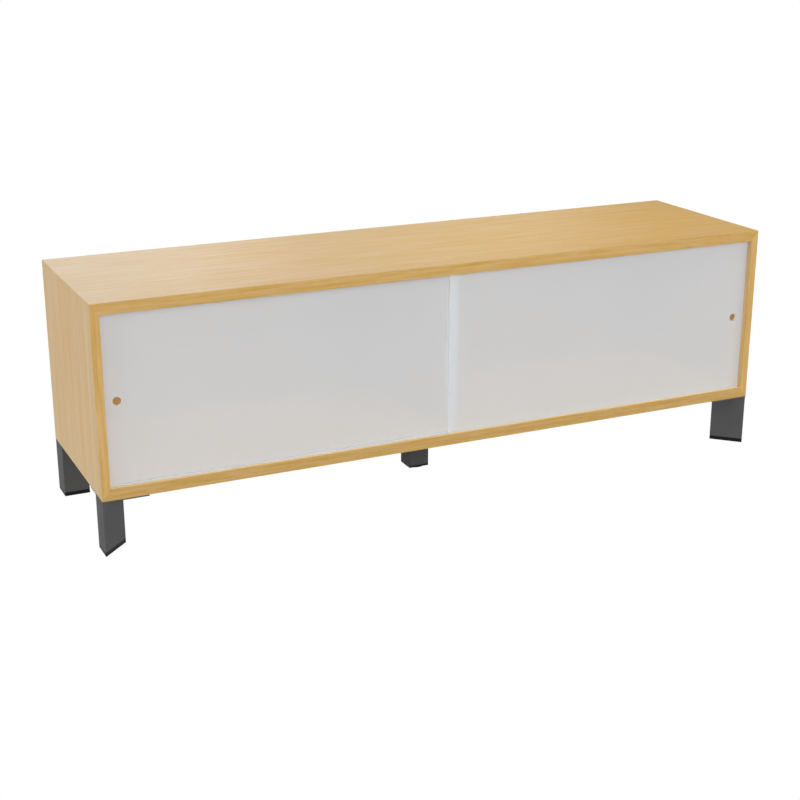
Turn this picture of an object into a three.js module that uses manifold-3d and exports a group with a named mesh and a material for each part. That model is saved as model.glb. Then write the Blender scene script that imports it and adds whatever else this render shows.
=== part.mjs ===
// A low cabinet with two sliding doors: a mitred wooden box on steel legs, closed by two frosted sheets that
// slide past each other in two-channel tracks. Millimetres, +Z up, the doors face -Y, and the origin lies on
// the floor under the middle of the box.

import * as THREE from "three";
import { mergeVertices } from "three/addons/utils/BufferGeometryUtils.js";
import Module from "manifold-3d";

const wasm = await Module();
wasm.setup();

// Overall sizes

const WIDTH = 1600;
const DEPTH = 420;
const BOX_HEIGHT = 412;
const LEG_HEIGHT = 121;

// Boards and the joints between them

const BOARD_THICKNESS = 24;
const SIDE_THICKNESS = 18;
const LIPPING_THICKNESS = 2;
const CONTACT_GAP = 0.1; // between two faces that touch or are glued
const MITRE_GAP = 0.3; // glue line of a mitre, measured square to it
const TONGUE_THICKNESS = 4;
const TONGUE_WIDTH = 12; // across the mitre
const TONGUE_END_MARGIN = 12; // wood left between a tongue and the grooves before and behind it
const TONGUE_CLEARANCE = 0.3; // around a tongue, in its groove
const CUT_OVERRUN = 6; // how far a cutting tool runs past the wood

// Back panel

const BACK_THICKNESS = 8;
const BACK_SETBACK = 5; // from the rear edges of the boards
const BACK_GROOVE_DEPTH = 6;
const BACK_CLEARANCE = 0.3; // at both faces of the panel
const BACK_END_CLEARANCE = 0.5; // at the bottom of the groove

// Doors and their tracks

const DOOR_THICKNESS = 6;
const DOOR_OVERLAP = 24;
const DOOR_END_GAP = 0.5; // between a closed door and the side
const DOOR_CORNER_RADIUS = 3;
const DOOR_FOOT_GAP = 0.3; // under a door, in its channel
const DOOR_TOP_ENGAGEMENT = 5; // how far a door reaches into the top track
const FINGER_HOLE_RADIUS = 9;
const FINGER_HOLE_INSET = 29; // from the door's outer edge to the hole's centre
const FINGER_HOLE_HEIGHT = 182; // from the door's foot to the hole's centre
const TRACK_SETBACK = 10; // from the front edges of the boards
const TRACK_LIP = 1.6;
const TRACK_RIB = 1.5; // between the two channels
const TRACK_WEB = 2; // under the channels
const TRACK_CLEARANCE = 0.2; // around a track, in its groove
const TRACK_END_GAP = 0.5;
const CHANNEL_PLAY = 0.5; // at each face of a door
const BOTTOM_CHANNEL_DEPTH = 4;
const TOP_CHANNEL_DEPTH = 10; // deeper, so that a door lifts out of the bottom track

// Partition and its dowels

const PARTITION_THICKNESS = 18;
const PARTITION_SETBACK = 3.3; // behind the tracks
const DOWEL_RADIUS = 4;
const DOWEL_LENGTH = 30;
const DOWEL_CHAMFER = 1;
const DOWEL_IN_BOARD = 12; // the rest of a dowel is in the partition
const DOWEL_EDGE = 50; // from the partition's edges to the outer dowels
const DOWEL_CLEARANCE = 0.15;
const HOLE_SPARE = 1; // depth past the end of a dowel or a screw
const DOWELS_PER_END = 3;

// Corner legs

const TUBE_SIDE = 58; // the two equal sides of the triangular tube
const TUBE_WALL = 2.5;
const TUBE_RADIUS = 1;
const TUBE_INNER_RADIUS = 1;
const PLATE_THICKNESS = 2.5;
const PLATE_MARGIN = 40; // how far a plate reaches past its tube
const CAP_RIM = 9; // the part of the foot cap that shows
const PLUG_LENGTH = 15; // the part of a cap or insert that is in the tube
const PLUG_WALL = 2;
const PLUG_CLEARANCE = 0.3;

// Centre leg

const CENTRE_TUBE_SIDE = 49;
const CENTRE_TUBE_WALL = 2;
const CENTRE_PLATE_MARGIN = 17.5; // on each side of the tube
const INSERT_RIM = 4.5;
const GLIDE_RADIUS = 23.5;
const GLIDE_CHAMFER = 0.8;
const GLIDE_GAP = 0.3; // between the glide and the insert, screwed right in
const GLIDE_HEIGHT = 2.2;
const STEM_RADIUS = 4;
const STEM_LENGTH = 26;
const STEM_CLEARANCE = 0.1;

// Screws of the leg plates

const SCREW_RADIUS = 2.25;
const SCREW_LENGTH = 16;
const SCREW_TIP = 4;
const SCREW_HEAD_RADIUS = 4.5;
const SCREW_HEAD_HEIGHT = 2.8;
const SCREW_HEAD_EDGE = 1.2; // straight rim of the head
const SCREW_HEAD_CROWN_SHARE = 0.55; // flat crown of the head, as a share of its radius
const SCREW_CLEARANCE = 0.25;

// Facets of round shapes

const CORNER_STEPS = 3;
const ROUND_STEPS = 24;
const SCREW_STEPS = 12;

// Sizes worked out from the ones above

const HALF_WIDTH = WIDTH / 2;
const HALF_HEIGHT = BOX_HEIGHT / 2;
const FRONT = -DEPTH / 2;
const REAR = DEPTH / 2;
const OPENING_WIDTH = WIDTH - 2 * SIDE_THICKNESS;
const OPENING_HEIGHT = BOX_HEIGHT - 2 * BOARD_THICKNESS;
const BOARD_FRONT = FRONT + LIPPING_THICKNESS + CONTACT_GAP;
const CHANNEL_WIDTH = DOOR_THICKNESS + 2 * CHANNEL_PLAY;
const DOOR_PITCH = CHANNEL_WIDTH + TRACK_RIB;
const TRACK_WIDTH = 2 * TRACK_LIP + 2 * CHANNEL_WIDTH + TRACK_RIB;
const TRACK_FRONT = FRONT + TRACK_SETBACK;
const TRACK_REAR = TRACK_FRONT + TRACK_WIDTH;
const TRACK_LENGTH = OPENING_WIDTH - 2 * TRACK_END_GAP;
const BOTTOM_TRACK_HEIGHT = BOTTOM_CHANNEL_DEPTH + TRACK_WEB;
const TOP_TRACK_HEIGHT = TOP_CHANNEL_DEPTH + TRACK_WEB;
const DOOR_WIDTH = (OPENING_WIDTH + DOOR_OVERLAP) / 2 - DOOR_END_GAP;
const DOOR_FOOT = -OPENING_HEIGHT / 2 - BOTTOM_CHANNEL_DEPTH + DOOR_FOOT_GAP;
const DOOR_HEIGHT = OPENING_HEIGHT / 2 + DOOR_TOP_ENGAGEMENT - DOOR_FOOT;
const FRONT_DOOR_FACE = TRACK_FRONT + TRACK_LIP + CHANNEL_PLAY;
const BACK_REAR = REAR - BACK_SETBACK;
const BACK_FRONT = BACK_REAR - BACK_THICKNESS;
const TONGUE_FRONT = TRACK_REAR + TONGUE_END_MARGIN;
const TONGUE_REAR = BACK_FRONT - TONGUE_END_MARGIN;
const PARTITION_FRONT = TRACK_REAR + PARTITION_SETBACK;
const PARTITION_BOARD_FRONT = PARTITION_FRONT + LIPPING_THICKNESS + CONTACT_GAP;
const PARTITION_REAR = BACK_FRONT - BACK_CLEARANCE;
const PARTITION_HEIGHT = OPENING_HEIGHT - 2 * CONTACT_GAP;
const PLATE_SIDE = TUBE_SIDE + PLATE_MARGIN;
const CENTRE_PLATE_SIDE = CENTRE_TUBE_SIDE + 2 * CENTRE_PLATE_MARGIN;
const PLATE_TOP = LEG_HEIGHT - CONTACT_GAP;
const PLATE_BOTTOM = PLATE_TOP - PLATE_THICKNESS;
const INSERT_BOTTOM = GLIDE_HEIGHT + GLIDE_GAP;

// Materials

const VENEER = { color: "#dbbe92", roughness: 0.45, metalness: 0 };
const LIPPING = { color: "#c69e5d", roughness: 0.5, metalness: 0 };
const INNER_WOOD = { color: "#cfa97c", roughness: 0.7, metalness: 0 };
const FROSTED_SHEET = { color: "#cbcbcb", roughness: 0.35, metalness: 0 };
const TRACK_PLASTIC = { color: "#e4e5e6", roughness: 0.45, metalness: 0 };
const POWDER_COAT = { color: "#555555", roughness: 0.5, metalness: 0.4 };
const BLACK_PLASTIC = { color: "#141414", roughness: 0.4, metalness: 0 };
const ZINC_PLATE = { color: "#b9bcc0", roughness: 0.35, metalness: 0.9 };

// Makes a named mesh of a geometry, with a material of its own, at a place.
function piece(name, geometry, finish, place = [0, 0, 0]) {
  const mesh = new THREE.Mesh(geometry, new THREE.MeshStandardMaterial(finish));
  mesh.name = name;
  mesh.position.set(...place);
  return mesh;
}

// Turns a closed geometry into a solid that can be cut and joined.
function solidOf(geometry) {
  const bare = geometry.clone();
  bare.deleteAttribute("normal");
  bare.deleteAttribute("uv");
  const merged = mergeVertices(bare);
  return new wasm.Manifold(
    new wasm.Mesh({
      numProp: 3,
      vertProperties: Float32Array.from(merged.attributes.position.array),
      triVerts: Uint32Array.from(merged.index.array),
    }),
  );
}

// Turns a solid back into a geometry with flat shading.
function geometryOf(solid) {
  const { vertProperties, triVerts } = solid.getMesh();
  const indexed = new THREE.BufferGeometry();
  indexed.setAttribute("position", new THREE.BufferAttribute(vertProperties, 3));
  indexed.setIndex(new THREE.BufferAttribute(triVerts, 1));
  const geometry = indexed.toNonIndexed();
  geometry.computeVertexNormals();
  return geometry;
}

function cut(geometry, tools) {
  return geometryOf(tools.reduce((solid, tool) => solid.subtract(solidOf(tool)), solidOf(geometry)));
}

function join(first, second) {
  return geometryOf(solidOf(first).add(solidOf(second)));
}

// A box between two opposite corners.
function block(low, high) {
  const size = high.map((value, axis) => value - low[axis]);
  const middle = high.map((value, axis) => (value + low[axis]) / 2);
  return new THREE.BoxGeometry(...size).translate(...middle);
}

// An upright cylinder standing on a point.
function peg(radius, height, foot, steps = ROUND_STEPS) {
  const lift = new THREE.Vector3(0, 0, height / 2);
  return new THREE.CylinderGeometry(radius, radius, height, steps)
    .rotateX(Math.PI / 2)
    .translate(...lift.add(new THREE.Vector3(...foot)));
}

// A solid of revolution about Z, from a profile of [radius, height] points.
function turned(profile, steps) {
  const points = profile.map(([radius, height]) => new THREE.Vector2(radius, height));
  return new THREE.LatheGeometry(points, steps).rotateX(Math.PI / 2);
}

// Bases that lay an outline drawn in XY into the plane square to the direction in which it is extruded.
const X_AXIS = new THREE.Vector3(1, 0, 0);
const Y_AXIS = new THREE.Vector3(0, 1, 0);
const Z_AXIS = new THREE.Vector3(0, 0, 1);
const ALONG_X = new THREE.Matrix4().makeBasis(Y_AXIS, Z_AXIS, X_AXIS);
const ALONG_Y = new THREE.Matrix4().makeBasis(X_AXIS, Z_AXIS, Y_AXIS.clone().negate());
const ALONG_Z = new THREE.Matrix4();

// Extrudes an outline from low to high along one axis. ALONG_Y runs backwards, so it starts at high.
function extruded(shape, low, high, basis, curveSegments = CORNER_STEPS) {
  const start = basis === ALONG_Y ? -high : low;
  return new THREE.ExtrudeGeometry(shape, { depth: high - low, bevelEnabled: false, curveSegments })
    .translate(0, 0, start)
    .applyMatrix4(basis);
}

function outline(points) {
  return new THREE.Shape(points.map(([x, y]) => new THREE.Vector2(x, y)));
}

// Moves each corner of a convex outline inwards, so that every side moves by the same distance.
function insetCorners(corners, distance) {
  return corners.map((corner, i) => {
    const toBefore = corners.at(i - 1).clone().sub(corner).normalize();
    const toAfter = corners[(i + 1) % corners.length].clone().sub(corner).normalize();
    const halfAngle = toBefore.angleTo(toAfter) / 2;
    const inward = toBefore.add(toAfter).normalize();
    return corner.clone().addScaledVector(inward, distance / Math.sin(halfAngle));
  });
}

// A convex outline, given anticlockwise, with each corner rounded by an arc of the same radius.
function roundedOutline(corners, radius, Kind = THREE.Shape) {
  const shape = new Kind();
  insetCorners(corners, radius).forEach((centre, i) => {
    const before = corners[i].clone().sub(corners.at(i - 1));
    const after = corners[(i + 1) % corners.length].clone().sub(corners[i]);
    shape.absarc(centre.x, centre.y, radius, before.angle() - Math.PI / 2, after.angle() - Math.PI / 2);
  });
  return shape;
}

// The corners of a rectangle about a middle point.
function rectangle(width, height, middle = [0, 0]) {
  const signs = [
    [-1, -1],
    [1, -1],
    [1, 1],
    [-1, 1],
  ];
  return signs.map(([x, y]) => new THREE.Vector2(middle[0] + (x * width) / 2, middle[1] + (y * height) / 2));
}

// The mitres. Their line runs from the outer corner of the box to the corner of the opening, and both boards
// stop half of the gap short of it.

const MITRE_LENGTH = Math.hypot(BOARD_THICKNESS, SIDE_THICKNESS);
const MITRE_ANGLE = Math.atan2(BOARD_THICKNESS, SIDE_THICKNESS);
const BOARD_END_SETBACK = ((MITRE_GAP / 2) * MITRE_LENGTH) / BOARD_THICKNESS;
const SIDE_END_SETBACK = ((MITRE_GAP / 2) * MITRE_LENGTH) / SIDE_THICKNESS;

// Outline of the top (side 1) or bottom (side -1) board, seen from the front.
function boardOutline(side) {
  const outer = HALF_WIDTH - BOARD_END_SETBACK;
  const inner = OPENING_WIDTH / 2 - BOARD_END_SETBACK;
  const outerFace = side * HALF_HEIGHT;
  const innerFace = (side * OPENING_HEIGHT) / 2;
  return outline([
    [-outer, outerFace],
    [outer, outerFace],
    [inner, innerFace],
    [-inner, innerFace],
  ]);
}

// Outline of the right (side 1) or left (side -1) board, seen from the front.
function sideOutline(side) {
  const outer = HALF_HEIGHT - SIDE_END_SETBACK;
  const inner = OPENING_HEIGHT / 2 - SIDE_END_SETBACK;
  const outerFace = side * HALF_WIDTH;
  const innerFace = (side * OPENING_WIDTH) / 2;
  return outline([
    [outerFace, -outer],
    [outerFace, outer],
    [innerFace, inner],
    [innerFace, -inner],
  ]);
}

// A tongue lies across the middle of a mitre. The same shape, grown by the clearance, cuts its groove.
function tongueBlank(growth) {
  const width = TONGUE_WIDTH / 2 + growth;
  const thickness = TONGUE_THICKNESS / 2 + growth;
  return block([-thickness, TONGUE_FRONT - growth, -width], [thickness, TONGUE_REAR + growth, width]);
}

// Where a tongue lies and how it turns to stand square to its mitre, at a corner given as signs of X and Z.
function tonguePlace([x, z]) {
  return {
    position: [(x * (WIDTH - SIDE_THICKNESS)) / 2, 0, (z * (BOX_HEIGHT - BOARD_THICKNESS)) / 2],
    turn: -x * z * MITRE_ANGLE,
  };
}

function tongueGroove(corner) {
  const { position, turn } = tonguePlace(corner);
  return tongueBlank(TONGUE_CLEARANCE)
    .rotateY(turn)
    .translate(...position);
}

function tongue(name, corner) {
  const { position, turn } = tonguePlace(corner);
  const mesh = piece(name, tongueBlank(0), INNER_WOOD, position);
  mesh.rotation.y = turn;
  return mesh;
}

// The grooves for the back panel run out at the ends of each board, where the mitres cover them. They are cut
// by one block as wide and as high as the panel's own grooves, which reaches past the ends of the board.
function backGroove(reachX, reachZ) {
  const low = [-reachX, BACK_FRONT - BACK_CLEARANCE, -reachZ];
  const high = [reachX, BACK_REAR + BACK_CLEARANCE, reachZ];
  return block(low, high);
}

function boardBackGroove() {
  return backGroove(HALF_WIDTH, OPENING_HEIGHT / 2 + BACK_GROOVE_DEPTH);
}

function sideBackGroove() {
  return backGroove(OPENING_WIDTH / 2 + BACK_GROOVE_DEPTH, HALF_HEIGHT);
}

// Where the dowels of the partition stand, front to back.
function dowelPlaces() {
  const first = PARTITION_BOARD_FRONT + DOWEL_EDGE;
  const last = PARTITION_REAR - DOWEL_EDGE;
  return Array.from({ length: DOWELS_PER_END }, (_, i) => first + ((last - first) * i) / (DOWELS_PER_END - 1));
}

// The holes for the dowels at the top (side 1) or bottom (side -1) end, through both the board and partition.
function dowelHoles(side) {
  const intoBoard = DOWEL_IN_BOARD + HOLE_SPARE;
  const intoPartition = DOWEL_LENGTH - DOWEL_IN_BOARD + HOLE_SPARE;
  const below = side > 0 ? intoPartition : intoBoard;
  const foot = (side * OPENING_HEIGHT) / 2 - below;
  return dowelPlaces().map((y) => peg(DOWEL_RADIUS + DOWEL_CLEARANCE, intoBoard + intoPartition, [0, y, foot]));
}

// The corner legs. Front left and rear right are alike, half a turn apart, and the other two are their mirror.
const CORNERS = [
  { name: "front_left", x: -HALF_WIDTH, y: FRONT, hand: 1, turn: 0 },
  { name: "front_right", x: HALF_WIDTH, y: FRONT, hand: -1, turn: 0 },
  { name: "rear_left", x: -HALF_WIDTH, y: REAR, hand: -1, turn: Math.PI },
  { name: "rear_right", x: HALF_WIDTH, y: REAR, hand: 1, turn: Math.PI },
];

// The three screws of a corner leg stand in the middle of the margin that its plate has past the tube.
function cornerScrewPlaces(hand) {
  const near = PLATE_MARGIN / 2;
  const far = TUBE_SIDE + PLATE_MARGIN / 2;
  return [
    [hand * far, near],
    [hand * far, far],
    [hand * near, far],
  ];
}

function centreScrewPlaces() {
  const side = CENTRE_TUBE_SIDE + CENTRE_PLATE_MARGIN;
  return rectangle(side, side).map((corner) => corner.toArray());
}

// Holes for plate screws, from low to high.
function screwHoles(places, low, high) {
  return places.map(([x, y]) => peg(SCREW_RADIUS + SCREW_CLEARANCE, high - low, [x, y, low], SCREW_STEPS));
}

// Pilot holes for every plate screw, cut upwards from the underside of the bottom board.
function pilotHoles() {
  const centre = new THREE.Vector2();
  const atCorners = CORNERS.flatMap(({ x, y, hand, turn }) =>
    cornerScrewPlaces(hand).map((place) =>
      new THREE.Vector2(...place).rotateAround(centre, turn).add({ x, y }).toArray(),
    ),
  );
  const depth = SCREW_LENGTH - PLATE_THICKNESS + HOLE_SPARE;
  const places = [...atCorners, ...centreScrewPlaces()];
  return screwHoles(places, -HALF_HEIGHT - CUT_OVERRUN, depth - HALF_HEIGHT);
}

// The groove that a track is let into, in the opening's ceiling (side 1) or floor (side -1).
function trackGroove(side, height) {
  const inner = (side * OPENING_HEIGHT) / 2;
  const deepest = inner + side * (height + TRACK_CLEARANCE);
  const mouth = inner - side * CUT_OVERRUN;
  return block(
    [-HALF_WIDTH, TRACK_FRONT - TRACK_CLEARANCE, Math.min(deepest, mouth)],
    [HALF_WIDTH, TRACK_REAR + TRACK_CLEARANCE, Math.max(deepest, mouth)],
  );
}

function topBoard() {
  return cut(extruded(boardOutline(1), BOARD_FRONT, REAR, ALONG_Y), [
    trackGroove(1, TOP_TRACK_HEIGHT),
    boardBackGroove(),
    tongueGroove([-1, 1]),
    tongueGroove([1, 1]),
    ...dowelHoles(1),
  ]);
}

function bottomBoard() {
  return cut(extruded(boardOutline(-1), BOARD_FRONT, REAR, ALONG_Y), [
    trackGroove(-1, BOTTOM_TRACK_HEIGHT),
    boardBackGroove(),
    tongueGroove([-1, -1]),
    tongueGroove([1, -1]),
    ...dowelHoles(-1),
    ...pilotHoles(),
  ]);
}

function sideBoard(side) {
  return cut(extruded(sideOutline(side), BOARD_FRONT, REAR, ALONG_Y), [
    sideBackGroove(),
    tongueGroove([side, -1]),
    tongueGroove([side, 1]),
  ]);
}

// The solid strips on the front edges have the outline of the boards behind them.
function lipping(shape) {
  return extruded(shape, FRONT, FRONT + LIPPING_THICKNESS, ALONG_Y);
}

function backPanel() {
  const reach = 2 * (BACK_GROOVE_DEPTH - BACK_END_CLEARANCE);
  return new THREE.BoxGeometry(OPENING_WIDTH + reach, BACK_THICKNESS, OPENING_HEIGHT + reach);
}

function partition() {
  const half = [PARTITION_THICKNESS / 2, 0, PARTITION_HEIGHT / 2];
  const blank = block([-half[0], PARTITION_BOARD_FRONT, -half[2]], [half[0], PARTITION_REAR, half[2]]);
  return cut(blank, [...dowelHoles(1), ...dowelHoles(-1)]);
}

function partitionLipping() {
  return new THREE.BoxGeometry(PARTITION_THICKNESS, LIPPING_THICKNESS, PARTITION_HEIGHT);
}

function dowel() {
  return turned(
    [
      [0, 0],
      [DOWEL_RADIUS - DOWEL_CHAMFER, 0],
      [DOWEL_RADIUS, DOWEL_CHAMFER],
      [DOWEL_RADIUS, DOWEL_LENGTH - DOWEL_CHAMFER],
      [DOWEL_RADIUS - DOWEL_CHAMFER, DOWEL_LENGTH],
      [0, DOWEL_LENGTH],
    ],
    ROUND_STEPS,
  );
}

// A track of two channels side by side, open towards side (1 up, -1 down), standing on its web.
function track(side, channelDepth) {
  const web = side * TRACK_WEB;
  const rim = side * (TRACK_WEB + channelDepth);
  const section = [
    [0, 0],
    [0, rim],
  ];
  for (const start of [TRACK_LIP, TRACK_LIP + DOOR_PITCH]) {
    section.push([start, rim], [start, web], [start + CHANNEL_WIDTH, web], [start + CHANNEL_WIDTH, rim]);
  }
  section.push([TRACK_WIDTH, rim], [TRACK_WIDTH, 0]);
  return extruded(outline(section), -TRACK_LENGTH / 2, TRACK_LENGTH / 2, ALONG_X);
}

// A door drawn from the middle of its foot, with its finger hole near the edge on the given side.
function door(side) {
  const sheet = roundedOutline(rectangle(DOOR_WIDTH, DOOR_HEIGHT, [0, DOOR_HEIGHT / 2]), DOOR_CORNER_RADIUS);
  const holeX = side * (DOOR_WIDTH / 2 - FINGER_HOLE_INSET);
  sheet.holes.push(new THREE.Path().absarc(holeX, FINGER_HOLE_HEIGHT, FINGER_HOLE_RADIUS, 0, 2 * Math.PI));
  return extruded(sheet, 0, DOOR_THICKNESS, ALONG_Y, ROUND_STEPS / 2);
}

// A tube standing up, whose outline and bore are rounded, welded into the underside of its plate.
function weldedLeg(tubeCorners, wall, foot, plateCorners, screwPlaces) {
  const tube = roundedOutline(tubeCorners, TUBE_RADIUS);
  tube.holes.push(roundedOutline(insetCorners(tubeCorners, wall), TUBE_INNER_RADIUS, THREE.Path));
  const blank = join(
    extruded(tube, foot, PLATE_BOTTOM + PLATE_THICKNESS / 2, ALONG_Z),
    extruded(roundedOutline(plateCorners, TUBE_RADIUS), PLATE_BOTTOM, PLATE_TOP, ALONG_Z),
  );
  return cut(blank, screwHoles(screwPlaces, PLATE_BOTTOM - CUT_OVERRUN, PLATE_TOP + CUT_OVERRUN));
}

// The triangular tube fills the outer corner: one face lies flush with the side of the box, and the widest
// face runs at half a right angle from the corner of the box inwards.
function triangleCorners(hand) {
  const corners = [
    new THREE.Vector2(0, 0),
    new THREE.Vector2(hand * TUBE_SIDE, TUBE_SIDE),
    new THREE.Vector2(0, TUBE_SIDE),
  ];
  return hand > 0 ? corners : corners.reverse();
}

function cornerLeg(hand) {
  const plateMiddle = [(hand * PLATE_SIDE) / 2, PLATE_SIDE / 2];
  const plate = rectangle(PLATE_SIDE, PLATE_SIDE, plateMiddle);
  return weldedLeg(triangleCorners(hand), TUBE_WALL, CAP_RIM + CONTACT_GAP, plate, cornerScrewPlaces(hand));
}

function centreLeg() {
  const tube = rectangle(CENTRE_TUBE_SIDE, CENTRE_TUBE_SIDE);
  const plate = rectangle(CENTRE_PLATE_SIDE, CENTRE_PLATE_SIDE);
  const foot = INSERT_BOTTOM + INSERT_RIM + CONTACT_GAP;
  return weldedLeg(tube, CENTRE_TUBE_WALL, foot, plate, centreScrewPlaces());
}

// A foot cap: a rim with the tube's outline, and a hollow plug that fits the tube's bore.
function footCap(hand) {
  const corners = triangleCorners(hand);
  const plugCorners = insetCorners(corners, TUBE_WALL + PLUG_CLEARANCE);
  const plug = roundedOutline(plugCorners, TUBE_INNER_RADIUS);
  plug.holes.push(roundedOutline(insetCorners(plugCorners, PLUG_WALL), TUBE_INNER_RADIUS, THREE.Path));
  return join(
    extruded(roundedOutline(corners, TUBE_RADIUS), 0, CAP_RIM, ALONG_Z),
    extruded(plug, CAP_RIM / 2, CAP_RIM + PLUG_LENGTH, ALONG_Z),
  );
}

// The insert of the centre leg: a thin rim and a plug, with one bore for the glide's stem through both.
function centreInsert() {
  const corners = rectangle(CENTRE_TUBE_SIDE, CENTRE_TUBE_SIDE);
  const rim = roundedOutline(corners, TUBE_RADIUS);
  const plug = roundedOutline(insetCorners(corners, CENTRE_TUBE_WALL + PLUG_CLEARANCE), TUBE_INNER_RADIUS);
  const blank = join(
    extruded(rim, 0, INSERT_RIM, ALONG_Z),
    extruded(plug, INSERT_RIM / 2, INSERT_RIM + PLUG_LENGTH, ALONG_Z),
  );
  const boreLength = INSERT_RIM + PLUG_LENGTH + 2 * CUT_OVERRUN;
  return cut(blank, [peg(STEM_RADIUS + STEM_CLEARANCE, boreLength, [0, 0, -CUT_OVERRUN])]);
}

// The glide: a round foot with its stem, turned in one piece.
function centreGlide() {
  return turned(
    [
      [0, 0],
      [GLIDE_RADIUS - GLIDE_CHAMFER, 0],
      [GLIDE_RADIUS, GLIDE_CHAMFER],
      [GLIDE_RADIUS, GLIDE_HEIGHT],
      [STEM_RADIUS, GLIDE_HEIGHT],
      [STEM_RADIUS, GLIDE_HEIGHT + STEM_LENGTH],
      [0, GLIDE_HEIGHT + STEM_LENGTH],
    ],
    ROUND_STEPS,
  );
}

// A pan-head screw, drawn from the seat of its head.
function screw() {
  const crown = SCREW_HEAD_RADIUS * SCREW_HEAD_CROWN_SHARE;
  return turned(
    [
      [0, -SCREW_HEAD_HEIGHT],
      [crown, -SCREW_HEAD_HEIGHT],
      [SCREW_HEAD_RADIUS, -SCREW_HEAD_EDGE],
      [SCREW_HEAD_RADIUS, 0],
      [SCREW_RADIUS, 0],
      [SCREW_RADIUS, SCREW_LENGTH - SCREW_TIP],
      [0, SCREW_LENGTH],
    ],
    SCREW_STEPS,
  );
}

function screws(owner, places) {
  const seat = PLATE_BOTTOM - CONTACT_GAP;
  return places.map(([x, y], i) => piece(`${owner}_screw_${i + 1}`, screw(), ZINC_PLATE, [x, y, seat]));
}

// The wooden box, drawn about its own middle.
function carcass() {
  const group = new THREE.Group();
  group.add(
    piece("top_board", topBoard(), VENEER),
    piece("bottom_board", bottomBoard(), VENEER),
    piece("left_side", sideBoard(-1), VENEER),
    piece("right_side", sideBoard(1), VENEER),
    piece("top_lipping", lipping(boardOutline(1)), LIPPING),
    piece("bottom_lipping", lipping(boardOutline(-1)), LIPPING),
    piece("left_lipping", lipping(sideOutline(-1)), LIPPING),
    piece("right_lipping", lipping(sideOutline(1)), LIPPING),
    tongue("top_left_tongue", [-1, 1]),
    tongue("top_right_tongue", [1, 1]),
    tongue("bottom_left_tongue", [-1, -1]),
    tongue("bottom_right_tongue", [1, -1]),
    piece("back_panel", backPanel(), VENEER, [0, (BACK_FRONT + BACK_REAR) / 2, 0]),
  );
  return group;
}

// The partition with the strip on its front edge and the dowels in its ends.
function divider() {
  const group = new THREE.Group();
  const lippingPlace = [0, PARTITION_FRONT + LIPPING_THICKNESS / 2, 0];
  group.add(
    piece("centre_partition", partition(), VENEER),
    piece("partition_lipping", partitionLipping(), LIPPING, lippingPlace),
  );
  const topFoot = OPENING_HEIGHT / 2 + DOWEL_IN_BOARD - DOWEL_LENGTH;
  const bottomFoot = -OPENING_HEIGHT / 2 - DOWEL_IN_BOARD;
  dowelPlaces().forEach((y, i) => {
    group.add(piece(`partition_top_dowel_${i + 1}`, dowel(), INNER_WOOD, [0, y, topFoot]));
    group.add(piece(`partition_bottom_dowel_${i + 1}`, dowel(), INNER_WOOD, [0, y, bottomFoot]));
  });
  return group;
}

// The two doors, shut, with their tracks. The right door runs in the front channels.
function doors() {
  const group = new THREE.Group();
  const reach = (OPENING_WIDTH - DOOR_WIDTH) / 2 - DOOR_END_GAP;
  const bottomWeb = -OPENING_HEIGHT / 2 - BOTTOM_TRACK_HEIGHT;
  const topWeb = OPENING_HEIGHT / 2 + TOP_TRACK_HEIGHT;
  group.add(
    piece("bottom_track", track(1, BOTTOM_CHANNEL_DEPTH), TRACK_PLASTIC, [0, TRACK_FRONT, bottomWeb]),
    piece("top_track", track(-1, TOP_CHANNEL_DEPTH), TRACK_PLASTIC, [0, TRACK_FRONT, topWeb]),
    piece("right_door", door(1), FROSTED_SHEET, [reach, FRONT_DOOR_FACE, DOOR_FOOT]),
    piece("left_door", door(-1), FROSTED_SHEET, [-reach, FRONT_DOOR_FACE + DOOR_PITCH, DOOR_FOOT]),
  );
  return group;
}

// A corner leg drawn from its corner of the box, on the floor.
function cornerLegGroup({ name, x, y, hand, turn }) {
  const group = new THREE.Group();
  group.position.set(x, y, 0);
  group.rotation.z = turn;
  group.add(
    piece(`${name}_leg`, cornerLeg(hand), POWDER_COAT),
    piece(`${name}_foot_cap`, footCap(hand), BLACK_PLASTIC),
    ...screws(`${name}_leg`, cornerScrewPlaces(hand)),
  );
  return group;
}

function centreLegGroup() {
  const group = new THREE.Group();
  group.add(
    piece("centre_leg", centreLeg(), POWDER_COAT),
    piece("centre_leg_insert", centreInsert(), BLACK_PLASTIC, [0, 0, INSERT_BOTTOM]),
    piece("centre_glide", centreGlide(), BLACK_PLASTIC),
    ...screws("centre_leg", centreScrewPlaces()),
  );
  return group;
}

const box = new THREE.Group();
box.position.z = LEG_HEIGHT + HALF_HEIGHT;
box.add(carcass(), divider(), doors());

const cabinet = new THREE.Group();
cabinet.name = "sliding_door_cabinet";
cabinet.add(box, ...CORNERS.map(cornerLegGroup), centreLegGroup());

export default cabinet;
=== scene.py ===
"""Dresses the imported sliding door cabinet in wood, frosted sheet and coated steel, and lights it."""

import logging
import math
from collections.abc import Callable, Sequence
from dataclasses import dataclass
from enum import Enum

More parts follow.
